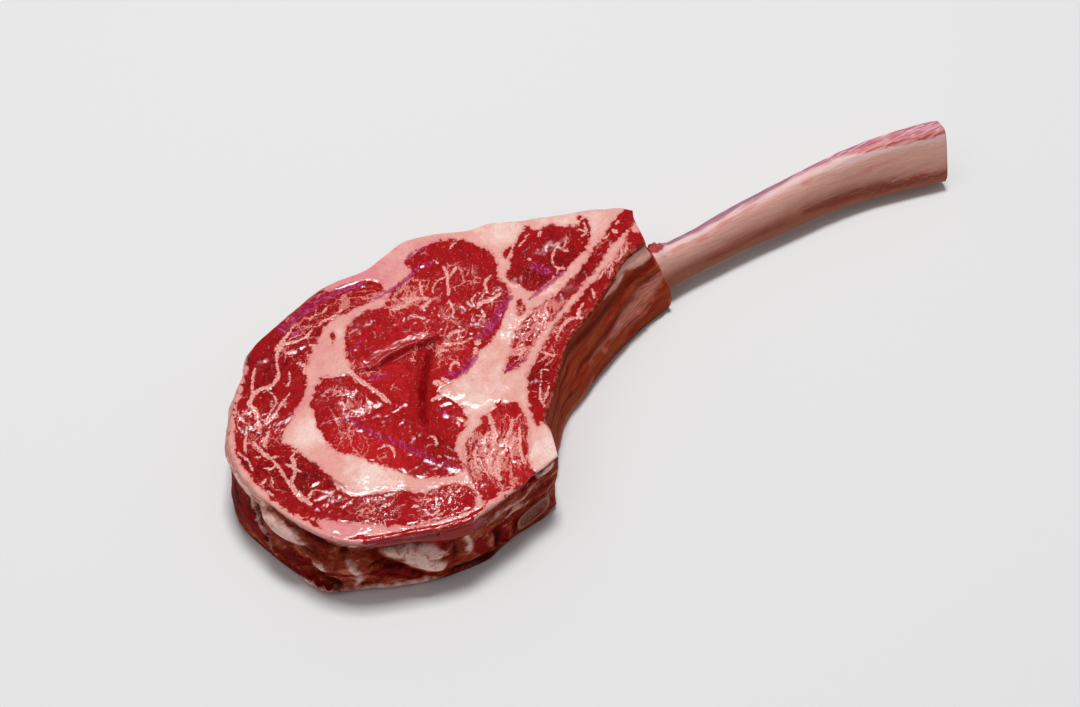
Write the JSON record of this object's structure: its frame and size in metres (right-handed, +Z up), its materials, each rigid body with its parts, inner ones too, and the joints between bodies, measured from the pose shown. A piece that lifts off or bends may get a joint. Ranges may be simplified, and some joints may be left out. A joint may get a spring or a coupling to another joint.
{
  "type": "raw tomahawk steak",
  "caption": "Thick slice of raw rib-eye lying on its cut face, with marbled muscles, seams of fat and a long bare curved rib as a handle.",
  "frame": {"origin": "middle of the bounding box's base, on the plane of the lower cut face", "axes": "+X along the rib towards its sawn bare end, +Z up, square to the cut faces"},
  "size_m": [0.4376, 0.1694, 0.0478],
  "materials": {
    "lean_meat": "wet red lean meat",
    "rib_membrane": "thin moist brown skin over the rib",
    "fat": "moist pale pink fat",
    "bone": "scraped pinkish bone"
  },
  "bodies": {
    "root": {"eye_muscle": "lean_meat", "cap_muscle": "lean_meat", "shoulder_muscle": "lean_meat", "outer_rib_meat": "lean_meat", "inner_rib_meat": "lean_meat", "chine_muscle": "lean_meat", "lip_meat": "lean_meat", "rib_membrane": "rib_membrane", "seam_fat": "fat", "rib_bone": "bone"}
  },
  "joints": []
}
